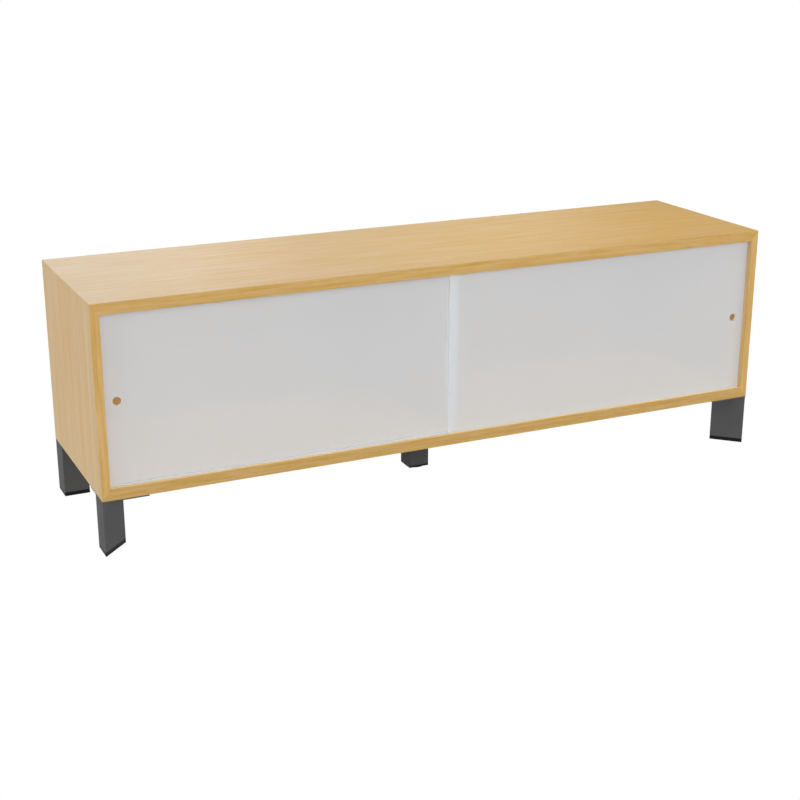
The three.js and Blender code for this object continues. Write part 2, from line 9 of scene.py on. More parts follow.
import bmesh
import bpy
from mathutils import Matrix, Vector


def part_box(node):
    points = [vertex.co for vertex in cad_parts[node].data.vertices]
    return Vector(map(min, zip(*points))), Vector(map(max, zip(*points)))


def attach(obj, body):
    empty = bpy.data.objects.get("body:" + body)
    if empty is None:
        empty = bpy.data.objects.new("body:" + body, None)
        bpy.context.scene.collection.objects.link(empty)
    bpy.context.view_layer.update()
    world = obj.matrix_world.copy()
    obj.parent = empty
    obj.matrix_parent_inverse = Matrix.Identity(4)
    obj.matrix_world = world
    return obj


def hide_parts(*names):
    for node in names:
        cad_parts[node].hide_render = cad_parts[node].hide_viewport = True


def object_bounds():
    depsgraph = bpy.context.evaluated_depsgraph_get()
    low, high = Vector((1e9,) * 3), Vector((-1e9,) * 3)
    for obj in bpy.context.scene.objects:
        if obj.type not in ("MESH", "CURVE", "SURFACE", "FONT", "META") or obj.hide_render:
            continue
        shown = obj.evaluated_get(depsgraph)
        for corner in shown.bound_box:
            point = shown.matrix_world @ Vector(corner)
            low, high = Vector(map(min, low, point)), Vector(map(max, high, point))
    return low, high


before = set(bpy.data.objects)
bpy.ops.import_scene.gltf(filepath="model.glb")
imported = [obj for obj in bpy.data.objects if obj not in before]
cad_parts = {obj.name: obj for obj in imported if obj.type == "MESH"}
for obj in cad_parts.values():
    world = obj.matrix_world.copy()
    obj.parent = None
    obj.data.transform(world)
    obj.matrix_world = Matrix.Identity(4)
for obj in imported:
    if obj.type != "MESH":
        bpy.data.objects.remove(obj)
CAD_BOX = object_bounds()

LOG = logging.getLogger("cabinet")

MM = 0.001
SQUARE = ((-1, -1), (1, -1), (1, 1), (-1, 1))  # which way each corner of a square lies, in turn
SMOOTH_UNDER = 32.0  # two faces that meet at less than this, in degrees, are shaded as one curve
BROAD_FACE_WEIGHT = 80  # how far a broad face rules the shading beside it, 50 for its area
MOST_NOISE = (0.3, 0.7)  # what most values of a noise lie between
ALL_NOISE = (0.2, 0.8)  # what nearly all of them lie between
SHARP_OVER = 40.0  # an edge that turns by more than this, in degrees, is rounded
FLAT_UNDER = 0.5  # triangles that meet at less than this, in degrees, are melted together
JOINED_WITHIN = 0.002 * MM  # corners nearer than this become one
LATE_ROUNDING = 3.0  # the power by which a turned solid draws in towards its end

Colour = tuple[float, float, float]
Point = tuple[float, float, float]
Line = tuple[int, int]
Node = bpy.types.Node
Socket = bpy.types.NodeSocket
Material = bpy.types.Material
Object = bpy.types.Object
Shell = bmesh.types.BMesh
Edge = bmesh.types.BMEdge


class Axis(Enum):
    """An axis of the cabinet's frame, by its place in a coordinate."""

    X = 0
    Y = 1
    Z = 2

    def stretched(self, along: float, across: float) -> Point:
        """Gives a scale that is one number along this axis and another across it."""
        return tuple(along if i == self.value else across for i in range(3))


# Node trees


class NodePad:
    """A node tree, with short ways to add and join its nodes."""

    def __init__(self, tree: bpy.types.NodeTree) -> None:
        """Takes up the tree that the nodes go into."""
        self.tree = tree

    def add(self, kind: str, inputs: dict | None = None, **settings) -> Node:
        """Adds a node.

        Args:
            kind: The node's type name.
            inputs: Values, output sockets or lists of output sockets, by input name or index.
            **settings: Attributes of the node itself.

        Returns:
            The new node.
        """
        node = self.tree.nodes.new(kind)
        for key, value in settings.items():
            setattr(node, key, value)
        for key, value in (inputs or {}).items():
            if isinstance(value, (Socket, list)):
                for source in value if isinstance(value, list) else [value]:
                    self.tree.links.new(source, node.inputs[key])
            else:
                node.inputs[key].default_value = value
        return node

    def make(self, kind: str, inputs: dict | None = None, **settings) -> Socket:
        """Adds a node and gives back its first output."""
        return self.add(kind, inputs, **settings).outputs[0]

    def sums(self, how: str, *parts: Socket | float) -> Socket:
        """Works out one number from others by a math operation's name."""
        return self.make("ShaderNodeMath", dict(enumerate(parts)), operation=how)


class NodeSheet(NodePad):
    """The node tree of one material."""

    def __init__(self, name: str) -> None:
        """Starts an empty tree.

        Args:
            name: The material's name.
        """
        self.material = bpy.data.materials.new(name)
        self.material.use_nodes = True
        super().__init__(self.material.node_tree)
        self.tree.nodes.clear()
        self.output = self.add("ShaderNodeOutputMaterial")
        self._place = None

    def noise(
        self, scale: Point, offset: Point = (0, 0, 0), detail: float = 2.0, swirl: float = 0.0
    ) -> Socket:
        """Gives a noise value from 0 to 1 on the Object coordinates.

        Args:
            scale: How fine it is along each axis.
            offset: The shift after scaling.
            detail: How many finer layers it has.
            swirl: How much it is distorted.

        Returns:
            The value.
        """
        if self._place is None:
            self._place = self.add("ShaderNodeTexCoord").outputs["Object"]
        mapped = self.add("ShaderNodeMapping", {"Vector": self._place, "Scale": scale, "Location": offset})
        inputs = {"Vector": mapped.outputs["Vector"], "Scale": 1.0, "Detail": detail, "Distortion": swirl}
        return self.make("ShaderNodeTexNoise", inputs)

    def spread(self, value: Socket, low: float, high: float, start: float = 0.0, end: float = 1.0) -> Socket:
        """Stretches a value's range from low to high to one from start to end, and clamps it."""
        inputs = {"Value": value, 1: low, 2: high, 3: start, 4: end}
        return self.make("ShaderNodeMapRange", inputs, clamp=True)

    def blend(self, factor: Socket | float, first: Colour | Socket, second: Colour | Socket) -> Socket:
        """Mixes two colours, of which the second shows by a factor."""
        first, second = (value if isinstance(value, Socket) else (*value, 1.0) for value in (first, second))
        return self.add("ShaderNodeMix", {0: factor, 6: first, 7: second}, data_type="RGBA").outputs[2]

    def bump(self, height: Socket, strength: float, distance: float) -> Socket:
        """Gives a normal bent by a height, where height 1 stands out by a distance in metres."""
        inputs = {"Height": height, "Strength": strength, "Distance": distance}
        return self.add("ShaderNodeBump", inputs).outputs["Normal"]

    def surface(self, shader: Node) -> Material:
        """Ends the tree in a shader and gives back the finished material."""
        self.tree.links.new(shader.outputs[0], self.output.inputs["Surface"])
        return self.material


# Finishes


def dimmed(colour: Colour, share: float) -> Colour:
    """Gives a colour made darker by a share, or lighter where the share is over 1."""
    return tuple(min(1.0, share * part) for part in colour)


def swing(middle: float, reach: float) -> tuple[float, float]:
    """Gives both ends of a range from its middle and its reach."""
    return middle - reach, middle + reach


@dataclass(frozen=True)
class WoodFinish:
    """Lacquered light hardwood, whose figure runs along one axis.

    Attributes:
        name: The material's name.
        grain: The axis that the fibres follow.
        offset: Shifts the figure, so that no two boards are alike.
        dark: The colour of its late wood.
        light: The colour of its early wood.
        shade: How much lighter or darker this board is than the rest, partly its own tone and partly painted
            light and shade.
        leaf_width: Width of the broad bands of tone.
        streak_width: Width of the streaks that show from a step away.
        fibre_width: Width of the finest fibres.
        fleck_share: How much the small dark flecks show.
        fleck_tone: How bright a fleck is, as a share of the late wood.
        roughness: Roughness of the lacquer.
        sheen_swing: How far the roughness varies.
        relief: How high the fibres stand.
    """

    name: str
    grain: Axis
    offset: Point = (0.0, 0.0, 0.0)
    dark: Colour = (0.614, 0.344, 0.026)
    light: Colour = (0.674, 0.449, 0.210)
    shade: float = 1.0
    leaf_width: float = 90 * MM
    streak_width: float = 7 * MM
    fibre_width: float = 1.2 * MM
    fleck_share: float = 0.4
    fleck_tone: float = 0.74
    roughness: float = 0.36
    sheen_swing: float = 0.03
    relief: float = 0.05 * MM

    def band(self, sheet: NodeSheet, width: float, ratio: float, *more: float) -> Socket:
        """Gives noise of a width, longer than wide by a ratio, with more numbers for detail and swirl."""
        return sheet.noise(self.grain.stretched(1 / (width * ratio), 1 / width), self.offset, *more)

    def build(self) -> Material:
        """Builds the material from broad bands, streaks, mottling, fibres and flecks.

        Returns:
            The material.
        """
        sheet = NodeSheet(self.name)
        # Each layer's share in the tone, then its band: width, ratio, detail and swirl
        layers = (
            (0.08, self.leaf_width, 5.0, 3.0, 0.5),
            (0.44, self.streak_width, 26.0, 3.0, 0.35),
            (0.24, self.streak_width * 1.8, 11.0, 3.0, 0.3),
            (0.06, self.leaf_width * 0.6, 0.3, 2.0, 0.5),
            (0.18, self.fibre_width, 30.0, 2.0, 0.0),
        )
        tone = None
        for share, *shape in layers:
            part = sheet.spread(self.band(sheet, *shape), *MOST_NOISE, 0.0, share)
            tone = part if tone is None else sheet.sums("ADD", tone, part)
        # Only the peaks of a noise are flecks
        fleck = sheet.spread(self.band(sheet, self.fibre_width * 1.8, 12, 1), 0.66, 0.78)
        fibre = self.band(sheet, self.fibre_width, 30)
        dark, light = dimmed(self.dark, self.shade), dimmed(self.light, self.shade)
        colour = sheet.blend(sheet.spread(tone, *ALL_NOISE), dark, light)
        flecked = sheet.sums("MULTIPLY", fleck, self.fleck_share)
        height = sheet.sums("SUBTRACT", fibre, sheet.sums("MULTIPLY", fleck, 0.8))
        low, high = swing(self.roughness, self.sheen_swing)
        lacquer = {
            "Base Color": sheet.blend(flecked, colour, dimmed(dark, self.fleck_tone)),
            "Roughness": sheet.spread(tone, *ALL_NOISE, high, low),
            "Normal": sheet.bump(height, 0.06, self.relief),
            "IOR": 1.5,
            "Coat Weight": 0.35,
            "Coat Roughness": 0.3,
        }
        return sheet.surface(sheet.add("ShaderNodeBsdfPrincipled", lacquer))


@dataclass(frozen=True)
class FrostedFinish:
    """A translucent face, which throws light back, spreads some behind it and lets some go straight.

    Attributes:
        name: The material's name.
        colour: What it throws back.
        glow: What it spreads behind it.
        glow_share: How much of the shader is spread behind.
        clear_share: How much of a face goes straight through.
        roughness: Roughness of the satin face.
        sheen_swing: How far the roughness varies.
        relief: How high the etched grains stand.
        etch: Etched grains on a metre.
        cloud: Clouds of tone on a metre.
        cloud_tone: How bright a cloud is, as a share of the colour.
    """

    name: str
    colour: Colour = (0.681, 0.706, 0.730)
    glow: Colour = (0.9, 0.91, 0.92)
    glow_share: float = 0.08
    clear_share: float = 0.35
    roughness: float = 0.42
    sheen_swing: float = 0.06
    relief: float = 0.02 * MM
    etch: float = 1600.0
    cloud: float = 5.0
    cloud_tone: float = 0.985

    def build(self) -> Material:
        """Builds the material, with a fine etched grain and slow clouds of tone.

        Returns:
            The material.
        """
        sheet = NodeSheet(self.name)
        etch = sheet.noise((self.etch,) * 3)
        cloud = sheet.spread(sheet.noise((self.cloud,) * 3, detail=3), *MOST_NOISE)
        satin = {
            "Base Color": sheet.blend(cloud, dimmed(self.colour, self.cloud_tone), self.colour),
            "Roughness": sheet.spread(etch, *ALL_NOISE, *swing(self.roughness, self.sheen_swing)),
            "Normal": sheet.bump(etch, 0.15, self.relief),
            "IOR": 1.49,
        }
        face = sheet.make("ShaderNodeBsdfPrincipled", satin)
        glow = sheet.make("ShaderNodeBsdfTranslucent", {"Color": (*self.glow, 1.0)})
        clear = sheet.make("ShaderNodeBsdfTransparent")
        body = sheet.make("ShaderNodeMixShader", {0: self.glow_share, 1: face, 2: glow})
        return sheet.surface(sheet.add("ShaderNodeMixShader", {0: self.clear_share, 1: body, 2: clear}))


@dataclass(frozen=True)
class SheetEdgeFinish:
    """The polished edge of a sheet, painted brighter than its faces and given a faint painted glow for the
    light that a sheet gathers at its edges.

    Attributes:
        name: The material's name.
        colour: Its colour, painted lighter than the faces' colour so that the edge, which gets less light,
            looks as bright as they do.
        roughness: How polished it is.
        painted_glow: How bright its painted glow is, an emission that stands for the light that the sheet
            gathers.
        sheen_swing: How far the roughness rises at a mark.
        relief: How high the marks stand.
        marks: Marks of the saw on a metre along each axis.
        mark_tone: How bright a mark is, as a share of the colour.
    """

    name: str
    colour: Colour = (0.80, 0.805, 0.81)
    roughness: float = 0.3
    painted_glow: float = 0.04
    sheen_swing: float = 0.1
    relief: float = 0.02 * MM
    marks: Point = (900.0, 60.0, 900.0)
    mark_tone: float = 0.96

    def build(self) -> Material:
        """Builds the material, with faint marks of the saw along the edge.

        Returns:
            The material.
        """
        sheet = NodeSheet(self.name)
        marks = sheet.noise(self.marks)
        polish = {
            "Base Color": sheet.blend(
                sheet.spread(marks, *MOST_NOISE), dimmed(self.colour, self.mark_tone), self.colour
            ),
            "Roughness": sheet.spread(marks, *ALL_NOISE, self.roughness, self.roughness + self.sheen_swing),
            "Normal": sheet.bump(marks, 0.2, self.relief),
            "IOR": 1.49,
            # Painted glow: the edge gives off light of its own colour, though it is no lamp.
            "Emission Color": (*self.colour, 1.0),
            "Emission Strength": self.painted_glow,
        }
        return sheet.surface(sheet.add("ShaderNodeBsdfPrincipled", polish))


@dataclass(frozen=True)
class CoatFinish:
    """A sprayed or moulded surface with a fine relief: powder coat, plastic or plated steel.

    Attributes:
        name: The material's name.
        colour: Its colour.
        roughness: Its middle roughness.
        sheen_swing: How far the roughness varies.
        metallic: 1 for bare metal.
        relief_width: Width of one bump of its surface.
        relief: How high the bumps stand.
        tone_swing: How far the colour varies, as a share.
        drift: Slow swings of tone on a metre.
        stretch: How much longer the relief is along X, as drawn plastic has it.
        gloss: How strongly it mirrors, where 0.5 is plain lacquer.
    """

    name: str
    colour: Colour
    roughness: float
    sheen_swing: float = 0.05
    metallic: float = 0.0
    relief_width: float = 0.5 * MM
    relief: float = 0.01 * MM
    tone_swing: float = 0.08
    drift: float = 14.0
    stretch: float = 1.0
    gloss: float = 0.15

    def build(self) -> Material:
        """Builds the material from one relief and one slow drift of tone.

        Returns:
            The material.
        """
        sheet = NodeSheet(self.name)
        along, across = 1 / (self.relief_width * self.stretch), 1 / self.relief_width
        relief = sheet.noise(Axis.X.stretched(along, across))
        drift = sheet.spread(sheet.noise((self.drift,) * 3, detail=3), *MOST_NOISE)
        low, high = (dimmed(self.colour, share) for share in swing(1.0, self.tone_swing))
        coat = {
            "Base Color": sheet.blend(
                sheet.spread(relief, *MOST_NOISE, 0.0, 0.5), sheet.blend(drift, low, high), high
            ),
            "Roughness": sheet.spread(relief, 0.25, 0.75, *swing(self.roughness, self.sheen_swing)),
            "Metallic": self.metallic,
            "Specular IOR Level": self.gloss,
            "Normal": sheet.bump(relief, 0.5, self.relief),
        }
        return sheet.surface(sheet.add("ShaderNodeBsdfPrincipled", coat))


SOLID_TONES = {
    "dark": (0.510, 0.285, 0.032),
    "light": (0.622, 0.395, 0.147),
    "leaf_width": 70 * MM,
    "streak_width": 5 * MM,
}
# Wood round the inside: partly a paler wood of its own, partly painted light, yellower and a little lighter
# than the veneer to make up for the shade and reddened bounce light inside the case.
INSIDE_WOOD_AND_PAINTED_LIGHT = {"dark": (0.61, 0.37, 0.045), "light": (0.67, 0.465, 0.225)}
BEECH_TONES = {
    "dark": (0.42, 0.25, 0.12),
    "light": (0.56, 0.36, 0.19),
    "leaf_width": 30 * MM,
    "roughness": 0.6,
}
COATING = {
    "roughness": 0.55,
    "gloss": 0.12,
    "relief_width": 0.9 * MM,
    "relief": 0.05 * MM,
}


# Shapes


def shell_of(node: str) -> Shell:
    """Copies a CAD node's triangles, joins them and melts the flat ones together.

    Args:
        node: The CAD node.

    Returns:
        The joined shell.
    """
    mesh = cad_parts[node].data
    shell = bmesh.new()
    corners = [shell.verts.new(vertex.co) for vertex in mesh.vertices]
    for polygon in mesh.polygons:
        shell.faces.new([corners[i] for i in polygon.vertices])
    bmesh.ops.remove_doubles(shell, verts=shell.verts, dist=JOINED_WITHIN)
    flat = math.radians(FLAT_UNDER)
    bmesh.ops.dissolve_limit(shell, angle_limit=flat, verts=shell.verts, edges=shell.edges)
    shell.normal_update()
    return shell


def soften(shell: Shell, width: float, pick: Callable[[Edge], bool], steps: int = 2) -> None:
    """Rounds the picked sharp edges of a shell.

    Args:
        shell: The shell to change.
        width: How far the rounding reaches.
        pick: Says whether an edge is rounded.
        steps: How many faces make a rounding.
    """
    over = math.radians(SHARP_OVER)
    sharp = [edge for edge in shell.edges if edge.calc_face_angle(0.0) > over and pick(edge)]
    how = {"segments": steps, "profile": 0.5, "affect": "EDGES", "clamp_overlap": True}
    bmesh.ops.bevel(shell, geom=sharp, offset=width, **how)


def put(name: str, data: bpy.types.ID, place: Point = (0, 0, 0), gaze: Vector | None = None) -> Object:
    """Puts an object that shows some data in the scene.

    Args:
        name: The object's name.
        data: Its mesh, light or camera.
        place: Where it stands.
        gaze: The direction that a light or a camera looks in.

    Returns:
        The new object.
    """
    made = bpy.data.objects.new(name, data)
    made.location = place
    if gaze:
        made.rotation_mode = "QUATERNION"
        made.rotation_quaternion = gaze.to_track_quat("-Z", "Y")
    bpy.context.scene.collection.objects.link(made)
    return made


def smooth(mesh: bpy.types.Mesh) -> None:
    """Shades a mesh smooth but for its sharp edges."""
    mesh.shade_smooth()
    mesh.set_sharp_from_angle(angle=math.radians(SMOOTH_UNDER))


def object_from(shell: Shell, name: str, *materials: Material) -> Object:
    """Makes a shell an object in the scene, flat on its broad faces and smooth over its soft edges.

    Args:
        shell: The shell, which is freed.
        name: The object's name.
        *materials: Its materials, in slot order.

    Returns:
        The new object.
    """
    mesh = bpy.data.meshes.new(name)
    shell.to_mesh(mesh)
    shell.free()
    smooth(mesh)
    for material in materials:
        mesh.materials.append(material)
    piece = put(name, mesh)
    flattened = piece.modifiers.new("flattened", "WEIGHTED_NORMAL")
    flattened.keep_sharp = True
    flattened.weight = BROAD_FACE_WEIGHT
    return piece


def settle(piece: Object, body: str, slot: str, *nodes: str) -> Object:
    """Lets a finished piece ride on its body and stand for its CAD nodes.

    Args:
        piece: The piece.
        body: The CAD body that it moves with.
        slot: The record's material slot; not used.
        *nodes: The CAD nodes that it replaces.

    Returns:
        The piece.
    """
    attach(piece, body)
    if nodes:
        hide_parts(*nodes)
    LOG.info("%s: %d faces on %s", piece.name, len(piece.data.polygons), body)
    return piece


def dress(node: str, material: Material) -> None:
    """Gives a CAD node that keeps its own mesh a better material.

    Args:
        node: The CAD node.
        material: The material.
    """
    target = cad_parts[node]
    for slot in target.material_slots:
        slot.link = "OBJECT"
        slot.material = material
    LOG.info("%s: keeps its CAD mesh in %s", node, material.name)


# Geometry Nodes


class NodeRig(NodePad):
    """A Geometry Nodes tree with named inputs, run once on loose points and then made plain mesh."""

    def __init__(self, name: str) -> None:
        """Starts a tree with a geometry input and output.

        Args:
            name: The name of the tree and of the piece that it makes.
        """
        super().__init__(bpy.data.node_groups.new(name, "GeometryNodeTree"))
        self.name = name
        for way in ("INPUT", "OUTPUT"):
            self.tree.interface.new_socket("Geometry", in_out=way, socket_type="NodeSocketGeometry")
        self.entry = self.add("NodeGroupInput")
        self.exit = self.add("NodeGroupOutput")
        self.values: dict[str, float | Material] = {}

    def ask(self, name: str, value: float | Material) -> Socket:
        """Adds a named input to the tree.

        Args:
            name: The input's name.
            value: What the modifier sets it to: a float, a whole number or a material.

        Returns:
            The socket inside the tree.
        """
        kind = {float: "Float", int: "Int"}.get(type(value), "Material")
        made = self.tree.interface.new_socket(name, in_out="INPUT", socket_type="NodeSocket" + kind)
        self.values[made.identifier] = value
        return self.entry.outputs[name]

    def up(self, rise: Socket | float) -> Socket:
        """Gives the vector that goes straight up by a number."""
        return self.make("ShaderNodeCombineXYZ", {2: rise})

    def lifted(self, shape: Socket, rise: Socket) -> Socket:
        """Moves a shape straight up."""
        inputs = {"Geometry": shape, "Translation": self.up(rise)}
        return self.make("GeometryNodeTransform", inputs)

    def swept(self, line: Socket, girth: Socket, sides: Socket | int) -> Socket:
        """Sweeps a round section along a line, closed at its ends.

        Args:
            line: The line.
            girth: The section's radius at each point of it.
            sides: The section's sides.

        Returns:
            The swept mesh.
        """
        section = self.make("GeometryNodeCurvePrimitiveCircle", {"Resolution": sides, "Radius": 1.0})
        inputs = {"Curve": line, "Profile Curve": section, "Scale": girth, "Fill Caps": True}
        return self.make("GeometryNodeCurveToMesh", inputs)

    def turned(
        self, rise: Socket, rings: int, radius: Socket, share: Socket, sides: Socket, lower: bool
    ) -> Socket:
        """Turns a round solid on an upright axis that begins at the origin, drawn in towards one end.

        Args:
            rise: How far up its axis goes.
            rings: Its rings of corners.
            radius: Its greatest radius.
            share: How far it draws in, as a share of that radius.
            sides: Its sides.
            lower: Whether the end at the origin draws in, and not the other one.

        Returns:
            The solid.
        """
        axis = self.make("GeometryNodeCurvePrimitiveLine", {"End": self.up(rise)})
        fine = self.make("GeometryNodeResampleCurve", {"Curve": axis, "Count": rings}, mode="COUNT")
        way = self.add("GeometryNodeSplineParameter").outputs["Factor"]
        if lower:
            way = self.sums("SUBTRACT", 1.0, way)
        drawn_in = self.sums("MULTIPLY", self.sums("POWER", way, LATE_ROUNDING), share)
        girth = self.sums("MULTIPLY", radius, self.sums("SUBTRACT", 1.0, drawn_in))
        return self.swept(fine, girth, sides)

    def stood(self, parts: list[Socket], turn: Socket | float = 0.0) -> Socket:
        """Joins some parts and stands a copy of them at each point.

        Args:
            parts: The parts.
            turn: How far each copy is turned about its upright axis.

        Returns:
            The copies.
        """
        whole = self.make("GeometryNodeJoinGeometry", {0: parts})
        inputs = {"Points": self.entry.outputs[0], "Instance": whole, "Rotation": self.up(turn)}
        return self.make("GeometryNodeInstanceOnPoints", inputs)

    def run(
        self, shape: Socket, material: Material, points: Sequence[Point], lines: Sequence[Line] = ()
    ) -> Object:
        """Ends the tree in Realize Instances and Set Material, and keeps what it makes as a plain mesh.

        Args:
            shape: What the tree has made.
            material: The material of the finished piece.
            points: The loose points that the tree reads.
            lines: Pairs of points that are joined.

        Returns:
            The finished piece.
        """
        real = self.make("GeometryNodeRealizeInstances", {0: shape})
        inputs = {"Geometry": real, "Material": self.ask("Material", material)}
        self.tree.links.new(self.make("GeometryNodeSetMaterial", inputs), self.exit.inputs[0])
        base = bpy.data.meshes.new(self.name)
        base.from_pydata(points, list(lines), [])
        piece = put(self.name, base)
        modifier = piece.modifiers.new("rig", "NODES")
        modifier.node_group = self.tree
        for identifier, value in self.values.items():
            modifier[identifier] = value
        bpy.context.view_layer.update()
        evaluated = piece.evaluated_get(bpy.context.evaluated_depsgraph_get())
        mesh = bpy.data.meshes.new_from_object(evaluated)
        piece.modifiers.remove(modifier)
        piece.data = mesh
        smooth(mesh)
        return piece


@dataclass(frozen=True)
class Thread:
    """A rod with a pointed ridge wound round it.

    Attributes:
        core: Radius of the rod.
        crest: Radius over the ridge.
        pitch: Rise of one turn.
        sides: The rod's sides.
        steps: Steps of one turn.
        ridge_sides: The ridge's sides.
    """

    core: float
    crest: float
    pitch: float
    sides: int
    steps: int = 20
    ridge_sides: int = 4

    def build(self, rig: NodeRig, length: Socket, base: Socket | float, start: Socket) -> list[Socket]:
        """Makes the rod and the ridge.

        Args:
            rig: The tree to add to.
            length: The rod's length.
            base: How high the rod begins.
            start: How high the ridge begins.

        Returns:
            Both of them.
        """
        core = rig.ask("Core Radius", self.core)
        depth = rig.ask("Thread Depth", self.crest - self.core)
        pitch = rig.ask("Pitch", self.pitch)
        rod = {"Vertices": self.sides, "Radius": core, "Depth": length}
        rise = rig.sums("SUBTRACT", length, pitch)
        helix = {"Resolution": self.steps, "Rotations": rig.sums("DIVIDE", rise, pitch), "Height": rise}
        helix |= dict.fromkeys(("Start Radius", "End Radius"), core)
        ridge = rig.swept(rig.make("GeometryNodeCurveSpiral", helix), depth, self.ridge_sides)
        middle = rig.sums("MULTIPLY_ADD", length, 0.5, base)
        return [rig.lifted(rig.make("GeometryNodeMeshCylinder", rod), middle), rig.lifted(ridge, start)]


# The case


@dataclass
class Case:
    """The mitred wooden case with its back, partition and joinery.

    Attributes:
        half_width: From the middle of the case to its ends.
        top: Height of its top above the floor.
        height: From its underside to its top.
        board: Thickness of the top and bottom.
        side: Thickness of the sides.
        slack: How far a CAD board's mitre may stand back from the true mitre.
        glue: What is left of that gap once the boards are closed up.
        arris: Rounding of the outer edges.
        side_streak: Width of the streaks in the sides' veneer.
    """

    half_width: float = CAD_BOX[1].x
    top: float = CAD_BOX[1].z
    height: float = 412 * MM
    board: float = 24 * MM
    side: float = 18 * MM
    slack: float = 0.4 * MM
    glue: float = 0.02 * MM
    arris: float = 0.5 * MM
    side_streak: float = 15 * MM

    def close_mitres(self, shell: Shell, grain: Axis) -> None:
        """Moves the mitred ends of a board out to the true mitre, as glue and clamps close them.

        Args:
            shell: The board's shell.
            grain: The axis that the board's length follows.
        """
        half, middle = self.height / 2, self.top - self.height / 2
        for vertex in shell.verts:
            run, rise = abs(vertex.co.x), abs(vertex.co.z - middle)
            if grain is Axis.X:
                target = self.half_width - (half - rise) * self.side / self.board
                if 0 < target - run < self.slack:
                    vertex.co.x = math.copysign(target - self.glue, vertex.co.x)
            else:
                target = half - (self.half_width - run) * self.board / self.side
                if 0 < target - rise < self.slack:
                    vertex.co.z = middle + math.copysign(target - self.glue, vertex.co.z - middle)

    def is_long_edge(self, edge: Edge) -> bool:
        """Says whether an edge runs the length of a board along its front or rear.

        Args:
            edge: The edge.

        Returns:
            Whether it does.
        """
        first, second = (vertex.co for vertex in edge.verts)
        low, high = CAD_BOX[0].y, CAD_BOX[1].y
        outside = all(min(abs(co.y - low), abs(co.y - high)) < self.slack for co in (first, second))
        return outside and edge.calc_length() > self.height / 2

    def board_piece(self, node: str, finish: WoodFinish) -> Object:
        """Makes one board or lipping of the case.

        Args:
            node: The CAD node that it stands for.
            finish: Its wood, whose grain runs along it.

        Returns:
            The board.
        """
        shell = shell_of(node)
        self.close_mitres(shell, finish.grain)
        soften(shell, self.arris, self.is_long_edge)
        slot = "lipping_wood" if "lipping" in node else "veneer"
        return settle(object_from(shell, f"{node}_wood", finish.build()), "case", slot, node)

    def build(self) -> list[Object]:
        """Builds every board and dresses the joinery.

        Returns:
            The boards that stand round the inside.
        """
        side_tones = {"streak_width": self.side_streak}
        inner = (
            ("bottom_board", Axis.X, (3.1, 7.3, 1.9), INSIDE_WOOD_AND_PAINTED_LIGHT),
            ("left_side", Axis.Z, (5.7, 2.2, 4.4), side_tones),
            ("right_side", Axis.Z, (9.2, 4.1, 0.6), side_tones),
        )
        outer = (
            ("top_board", Axis.X, (0.0, 0.0, 0.0), {}),
            # Partly each lipping's own tone, partly painted light and shade: the bottom lipping is painted
            # darker, the side lippings lighter.
            ("top_lipping", Axis.X, (2.2, 8.1, 3.7), SOLID_TONES | {"shade": 1.01}),
            ("bottom_lipping", Axis.X, (6.4, 0.9, 5.2), SOLID_TONES | {"shade": 0.95}),
            ("left_lipping", Axis.Z, (1.3, 3.3, 8.8), SOLID_TONES | {"shade": 1.05}),
            ("right_lipping", Axis.Z, (7.5, 6.2, 2.1), SOLID_TONES | {"shade": 1.05}),
        )
        dressed = (
            ("back_panel", Axis.X, (4.9, 5.1, 6.6), INSIDE_WOOD_AND_PAINTED_LIGHT),
            ("centre_partition", Axis.Z, (8.3, 1.7, 7.9), INSIDE_WOOD_AND_PAINTED_LIGHT),
            ("partition_lipping", Axis.Z, (0.4, 9.5, 3.3), SOLID_TONES),
        )
        pieces = [
            self.board_piece(node, WoodFinish(f"wood_{node}", grain, offset, **more))
            for node, grain, offset, more in inner + outer
        ]
        for node, grain, offset, more in dressed:
            dress(node, WoodFinish(f"wood_{node}", grain, offset, **more).build())
        for kind, grain in (("tongue", Axis.Y), ("dowel", Axis.Z)):
            beech = WoodFinish(f"beech_{kind}s", grain, **BEECH_TONES).build()
            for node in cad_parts:
                if kind in node:
                    dress(node, beech)
        return pieces[:len(inner)]


# The doors


@dataclass
class SlidingDoors:
    """The two frosted sheets and the tracks that they run in.

    Attributes:
        arris: Width of the small polished bevel round every edge of a sheet.
        hole_arris: Width of the polished bevel round a finger hole, widened so that the edge finish's
            painted brightness and glow show as a light ring round it.
        border: How far from a sheet's outline its finger hole begins, at least.
        facing: How nearly a face must look along Y to count as frosted.
    """

    arris: float = 0.35 * MM
    hole_arris: float = 0.9 * MM
    border: float = 10 * MM
    facing: float = 0.99

    def sheet(self, node: str, finishes: tuple[Material, Material]) -> None:
        """Makes one door.

        Args:
            node: The CAD node that it stands for, whose name is its body's too.
            finishes: The frosted face and the polished edge.
        """
        shell = shell_of(node)
        low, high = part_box(node)

        def is_at_hole(edge: Edge) -> bool:
            """Says whether an edge lies inside the sheet's outline."""
            middle = (edge.verts[0].co + edge.verts[1].co) / 2
            return all(low[i] + self.border < middle[i] < high[i] - self.border for i in (0, 2))

        soften(shell, self.hole_arris, is_at_hole, steps=1)
        soften(shell, self.arris, lambda edge: not is_at_hole(edge), steps=1)
        shell.normal_update()
        for face in shell.faces:
            # Faces that don't look along Y, the bevels and edges, take the edge finish, painted brighter and
            # with a painted glow.
            face.material_index = 0 if abs(face.normal.y) > self.facing else 1
        piece = object_from(shell, f"{node}_sheet", *finishes)
        piece.visible_shadow = False
        settle(piece, node, "frosted_sheet", node)

    def build(self) -> None:
        """Builds both sheets and dresses the tracks."""
        finishes = FrostedFinish("frosted_face").build(), SheetEdgeFinish("polished_edge").build()
        drawn = {"relief_width": 0.6 * MM, "stretch": 60.0, "gloss": 0.5}
        plastic = CoatFinish("track_plastic", (0.85, 0.85, 0.84), 0.42, **drawn).build()
        for node in ("bottom_track", "top_track"):
            dress(node, plastic)
        for node in ("left_door", "right_door"):
            self.sheet(node, finishes)


# The legs


